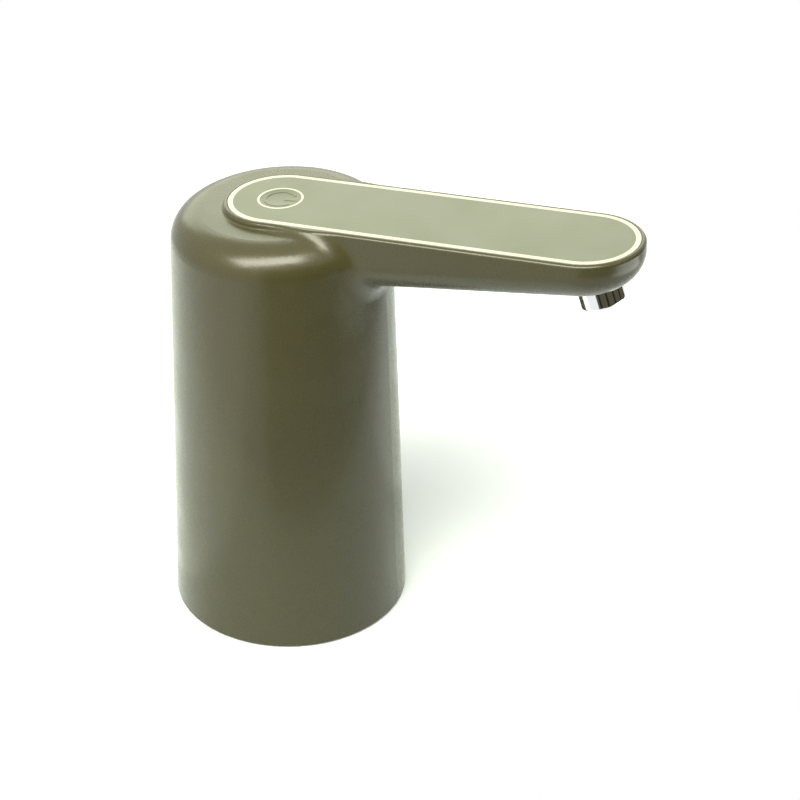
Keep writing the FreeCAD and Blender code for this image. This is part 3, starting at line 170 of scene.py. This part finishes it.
class Look(Nodes):
    """One procedural material. Its patterns run in the row frame, in metres."""

    def __init__(self, name):
        self.material = bpy.data.materials.new(name)
        self.material.use_nodes = True
        super().__init__(self.material.node_tree)
        self.shader = self.node("BsdfPrincipled")
        self.output = self.node("OutputMaterial", Surface=self.shader.outputs[0])
        self.place = self.node("TexCoord").outputs["Object"]

    def set(self, **inputs):
        """Sets inputs of the shader."""
        for name, value in inputs.items():
            self.feed(self.shader.inputs[name.replace("_", " ")], value)

    def noise(self, size, detail=2.0, roughness=0.5, stretch=None):
        """Noise from 0 to 1 whose features are about that size, in millimetres."""
        place = self.place
        if stretch:
            place = self.node("Mapping", {"vector_type": "POINT"}, Vector=place,
                              Scale=stretch).outputs[0]
        made = self.node("TexNoise", Vector=place, Scale=1.0 / (size * MM), Detail=detail,
                         Roughness=roughness)
        return made.outputs["Fac"]

    def swing(self, noise, reach, middle=0.0):
        """Noise turned into values up to that reach below and above the middle."""
        return self.ramp(noise, middle - reach, middle + reach, NOISE_LOW, NOISE_HIGH)

    def edge(self, size):
        """1 on edges narrower than that size, in millimetres, and 0 on open faces."""
        bevel = self.node("Bevel", {"samples": 4}, Radius=size * MM)
        normal = self.node("NewGeometry").outputs["Normal"]
        return self.ramp(self.dot(bevel.outputs[0], normal), 1.0, 0.0, start=0.85, end=0.995)

    def worn(self, color, scuffed, amount, size=0.5):
        """Slightly lighter worn edges, broken up so that they don't look drawn."""
        broken = self.ramp(self.noise(6.0, detail=3.0), 0.0, 1.0, start=0.42, end=0.62)
        mask = self.math("MULTIPLY", self.edge(size), broken)
        return self.mix(self.math("MULTIPLY", mask, amount), color, scuffed)

    def bump(self, *layers):
        """Layers of (height from 0 to 1, depth in millimetres), added up."""
        total = None
        for height, depth in layers:
            part = self.math("MULTIPLY", height, depth * MM)
            total = part if total is None else self.math("ADD", total, part)
        self.set(Normal=self.node("Bump", Height=total, Distance=1.0, Strength=1.0).outputs[0])


def moulded(name, color, roughness, grain=0.35, depth=0.006, mottle=0.06, scuff=0.25, sheen=0.0):
    """Moulded plastic: a fine eroded grain, cloudy colour, handling marks and worn edges."""
    look = Look(name)
    darker, lighter = shaded(color, 1.0 - mottle), shaded(color, 1.0 + mottle)
    cloud = look.ramp(look.noise(28.0, detail=4.0), 0.0, 1.0, NOISE_LOW, NOISE_HIGH)
    fine = look.noise(grain, detail=2.0, roughness=0.6)
    tint = look.mix(cloud, darker, lighter)
    tint = look.mix(look.ramp(fine, 0.0, 0.18, start=0.35, end=0.75), tint, darker)
    look.set(Base_Color=look.worn(tint, shaded(color, 1.5, lift=0.02), scuff))
    smudge = look.swing(look.noise(14.0, detail=5.0, roughness=0.62), 0.05)
    grit = look.swing(fine, 0.03)
    look.set(Roughness=look.math("ADD", look.math("ADD", smudge, roughness), grit, clamp=True))
    look.bump((fine, depth), (look.noise(4.0, detail=2.0), depth * 0.4))
    if sheen:
        look.set(Sheen_Weight=sheen, Sheen_Roughness=0.35, Sheen_Tint=(0.93, 1.0, 0.9, 1.0))
    return look


def rubbery(name, color, roughness):
    """Silicone or rubber: a dull skin with dust in it and soft flow marks."""
    look = Look(name)
    dust = look.ramp(look.noise(7.0, detail=6.0, roughness=0.7), 0.0, 0.6, start=0.45, end=0.8)
    look.set(Base_Color=look.mix(dust, color, shaded(color, 0.82, lift=0.06)),
             Roughness=look.swing(look.noise(11.0, detail=3.0), 0.07, middle=roughness))
    look.bump((look.noise(0.5, detail=3.0), 0.008), (look.noise(6.0, detail=2.0), 0.02))
    return look


def metal(name, color, roughness, brushed=(1.0, 1.0, 1.0), scuff=0.3, tarnish=0.12):
    """Metal with a brushed or drawn grain, dull patches and bright edges."""
    look = Look(name)
    patch = look.ramp(look.noise(5.0, detail=5.0, roughness=0.6), 0.0, 1.0, start=0.4, end=0.7)
    tint = look.mix(patch, color, shaded(color, 1.0 - tarnish))
    look.set(Base_Color=look.worn(tint, shaded(color, 1.15, lift=0.03), scuff, size=0.3))
    grain = look.noise(0.5, detail=3.0, roughness=0.6, stretch=brushed)
    spread = look.math("ADD", look.ramp(patch, 0.0, 0.06), look.swing(grain, 0.03))
    look.set(Roughness=look.math("ADD", spread, roughness, clamp=True), Metallic=1.0)
    look.bump((grain, 0.0015))
    return look


def board(name, color, traces):
    """A circuit board's solder mask with faint traces under it."""
    look = Look(name)
    bricks = look.node("TexBrick", {"offset": 0.5}, Vector=look.place, Scale=260.0, Color1=WHITE,
                       Color2=(0.7, 0.7, 0.7, 1.0), Mortar=BLACK, Mortar_Size=0.03)
    lines = look.math("SUBTRACT", 1.0, bricks.outputs["Fac"])
    look.set(Base_Color=look.mix(lines, traces, color),
             Roughness=look.ramp(look.noise(3.0, detail=3.0), 0.22, 0.34))
    look.bump((lines, 0.02), (look.noise(0.8, detail=2.0), 0.004))
    return look


# Material slot: how it is made, its colour, its roughness or second colour, and what is special
RECIPES = {
    "body_plastic": (moulded, rgb(67, 65, 38), 0.27,
                     {"depth": 0.003, "mottle": 0.03, "sheen": 0.27}),
    "panel_plastic": (moulded, rgb(101, 105, 84), 0.36, {"grain": 0.3, "scuff": 0.1}),
    "trim_plastic": (moulded, rgb(197, 201, 185), 0.36,
                     {"depth": 0.003, "mottle": 0.015, "scuff": 0.0}),
    "light_ring": (moulded, rgb(200, 204, 188), 0.4,
                   {"depth": 0.003, "mottle": 0.015, "scuff": 0.0}),
    "nozzle_chrome": (metal, (0.86, 0.87, 0.88, 1.0), 0.05, {"scuff": 0.0, "tarnish": 0.04}),
    "silicone": (rubbery, rgb(222, 224, 218), 0.5, {}),
    "black_rubber": (rubbery, rgb(44, 44, 43), 0.62, {}),
    "white_plastic": (moulded, rgb(226, 226, 218), 0.42, {"mottle": 0.02, "scuff": 0.1}),
    "black_plastic": (moulded, rgb(46, 46, 45), 0.42, {"mottle": 0.08}),
    "white_nylon": (moulded, rgb(222, 219, 204), 0.38, {"mottle": 0.03, "scuff": 0.1}),
    "steel": (metal, (0.6, 0.6, 0.59, 1.0), 0.28, {"brushed": (1.0, 1.0, 0.06)}),
    "nickel": (metal, (0.68, 0.66, 0.6, 1.0), 0.25, {"brushed": (0.08, 1.0, 1.0)}),
    "bronze": (metal, (0.55, 0.36, 0.17, 1.0), 0.34, {}),
    "copper": (metal, (0.72, 0.33, 0.16, 1.0), 0.3, {"brushed": (1.0, 1.0, 0.03)}),
    "magnet": (moulded, rgb(64, 64, 66), 0.55, {"grain": 0.2, "depth": 0.01, "mottle": 0.1}),
    "cell_wrap": (moulded, rgb(42, 108, 158), 0.28, {"depth": 0.003, "mottle": 0.04}),
    "circuit_board": (board, rgb(22, 92, 58), rgb(70, 128, 74), {}),
    "led_lens": (moulded, rgb(240, 232, 190), 0.2,
                 {"depth": 0.002, "mottle": 0.02, "scuff": 0.0}),
    "wire_skin": (rubbery, rgb(168, 38, 34), 0.42, {}),
}
LOOKS = {slot: make(slot, color, second, **special)
         for slot, (make, color, second, special) in RECIPES.items()}

for part in frame["record"]["subparts"]:
    materials = NODES[part["node"]].data.materials
    materials.clear()
    materials.append(LOOKS[part["material_slot"]].material)


# Floor

def floor_material():
    """White for the camera and for reflections, with the object's shadow, and grey as bounce. For
    the camera it glows less near the foot, which is painted shade there, and fully further out,
    which paints over the shadow.
    """
    look = Look("floor")
    path = look.node("LightPath").outputs
    sees = look.math("ADD", path["Is Camera Ray"], path["Is Glossy Ray"], clamp=True)
    look.set(Roughness=look.ramp(look.noise(20.0, detail=4.0), 0.5, 0.6),
             Base_Color=look.mix(sees, rgb(140, 143, 143), rgb(220, 230, 231)))
    look.bump((look.noise(2.0, detail=3.0), 0.01))
    # For the camera the glow rises with the distance from the trunk's axis: weaker near the foot,
    # which is painted shade there, and full further out, which paints over the object's shadow.
    from_axis = look.node("VectorMath", {"operation": "LENGTH"}, Vector=look.place)
    glow_outside_painted_shade = look.ramp(from_axis.outputs["Value"], 0.0, GLOW_RISE_OUTSIDE_PAINTED_SHADE, PAINTED_SHADE_FADE_START, PAINTED_SHADE_FADE_END)
    glow_outside_painted_shade = look.math("MULTIPLY", glow_outside_painted_shade, path["Is Camera Ray"])
    white = look.node("Emission", Strength=look.math("ADD", glow_outside_painted_shade, GLOW))
    dark = look.node("Emission", Strength=0.0)
    glow = look.node("MixShader")
    for socket, value in zip(glow.inputs, (sees, dark.outputs[0], white.outputs[0])):
        look.feed(socket, value)
    both = look.node("AddShader")
    for socket, value in zip(both.inputs, (look.shader.outputs[0], glow.outputs[0])):
        look.feed(socket, value)
    look.feed(look.output.inputs["Surface"], both.outputs[0])
    return look.material


floor_mesh = bpy.data.meshes.new("floor")
rim = [FLOOR_MIDDLE + direction(i * 360.0 / FLOOR_CORNERS, 0.0) * FLOOR_REACH
       for i in range(FLOOR_CORNERS)]
floor_mesh.from_pydata(rim, [], [tuple(range(FLOOR_CORNERS))])
floor = bpy.data.objects.new("floor", floor_mesh)
floor.data.materials.append(floor_material())
scene.collection.objects.link(floor)


# Lamps

def area_lamp(name, place, axes, width, height, radiance, color):
    """A rectangular lamp with that radiance, whose axes are its width, its height and its back."""
    data = bpy.data.lights.new(name, "AREA")
    data.shape = "RECTANGLE"
    data.size, data.size_y = width, height
    data.energy = WATTS_PER_RADIANCE * width * height * radiance
    data.color = color
    lamp = bpy.data.objects.new(name, data)
    scene.collection.objects.link(lamp)
    lamp.location = place
    lamp.rotation_euler = Matrix(axes).transposed().to_euler()
    lamp.visible_camera = False


def softbox(name, azimuth, elevation, distance, width, height, radiance, color, roll=0.0):
    """A lamp that faces the middle of the object, rolled about the line to it."""
    back = direction(azimuth, elevation)
    level = Vector((0.0, 0.0, 1.0)).cross(back).normalized()
    up = back.cross(level)
    roll = math.radians(roll)
    wide = level * math.cos(roll) + up * math.sin(roll)
    place = LAMP_TARGET + back * distance
    area_lamp(name, place, (wide, back.cross(wide), back), width, height, radiance, color)


def floor_card(name, azimuth, distance, width, depth, radiance):
    """A pale card that lies on the floor and brightens what the object reflects there."""
    outward = direction(azimuth, 0.0)
    across = Vector((-outward.y, outward.x, 0.0))
    place = outward * distance + Vector((0.0, 0.0, MM))
    axes = (across, outward, Vector((0.0, 0.0, -1.0)))
    area_lamp(name, place, axes, width, depth, radiance, FLOOR_CARD_COLOR)


softbox("front_strip", azimuth=-92, elevation=54.5, distance=1.0, width=1.05, height=0.46,
        radiance=10.6, color=(1.0, 0.97, 0.82), roll=28.0)
softbox("back_cove", azimuth=118, elevation=24.5, distance=1.2, width=1.3, height=0.56,
        radiance=2.0, color=(0.93, 1.0, 0.74))
for card_name, card_values in FLOOR_CARDS.items():
    floor_card(card_name, *card_values)


# World

def white_world():
    """White to the camera and, but for the dark card, in mirrors. Dimmer on dull surfaces."""
    world = bpy.data.worlds.new("world")
    world.use_nodes = True
    sky = Nodes(world.node_tree)
    towards = sky.node("TexCoord").outputs["Generated"]
    parts = sky.node("SeparateXYZ", Vector=towards).outputs

    sideways = sky.dot(towards, direction(DARK_AZIMUTH, 0.0))
    upwards = sky.math("ABSOLUTE", sky.math("SUBTRACT", parts["Z"], DARK_LEVEL))
    card = sky.math("MULTIPLY", sky.ramp(sideways, 0.0, 1.0, *DARK_SIDES),
                    sky.ramp(upwards, 0.0, 1.0, *DARK_ENDS))
    around = sky.math("ARCTAN2", parts["Y"], parts["X"])
    stripes = sky.math("SINE", sky.math("MULTIPLY", around, STRIPE_RATE))
    brown = sky.mix(sky.ramp(stripes, 0.0, 1.0, *STRIPE_EDGE), rgb(34, 36, 26), rgb(86, 83, 66))

    path = sky.node("LightPath").outputs
    mirrored = sky.math("ADD", path["Is Glossy Ray"], path["Is Transmission Ray"], clamp=True)
    seen = sky.math("ADD", path["Is Camera Ray"], mirrored, clamp=True)
    dimmed = sky.math("MULTIPLY", sky.math("SUBTRACT", 1.0, seen),
                      sky.ramp(parts["Z"], *DIMMED, *DIMMED_SPAN))
    color = sky.mix(sky.math("MULTIPLY", card, mirrored), WHITE, brown)
    background = sky.node("Background", Color=color,
                          Strength=sky.math("SUBTRACT", 1.0, dimmed))
    sky.node("OutputWorld", Surface=background.outputs[0])
    return world


scene.world = white_world()
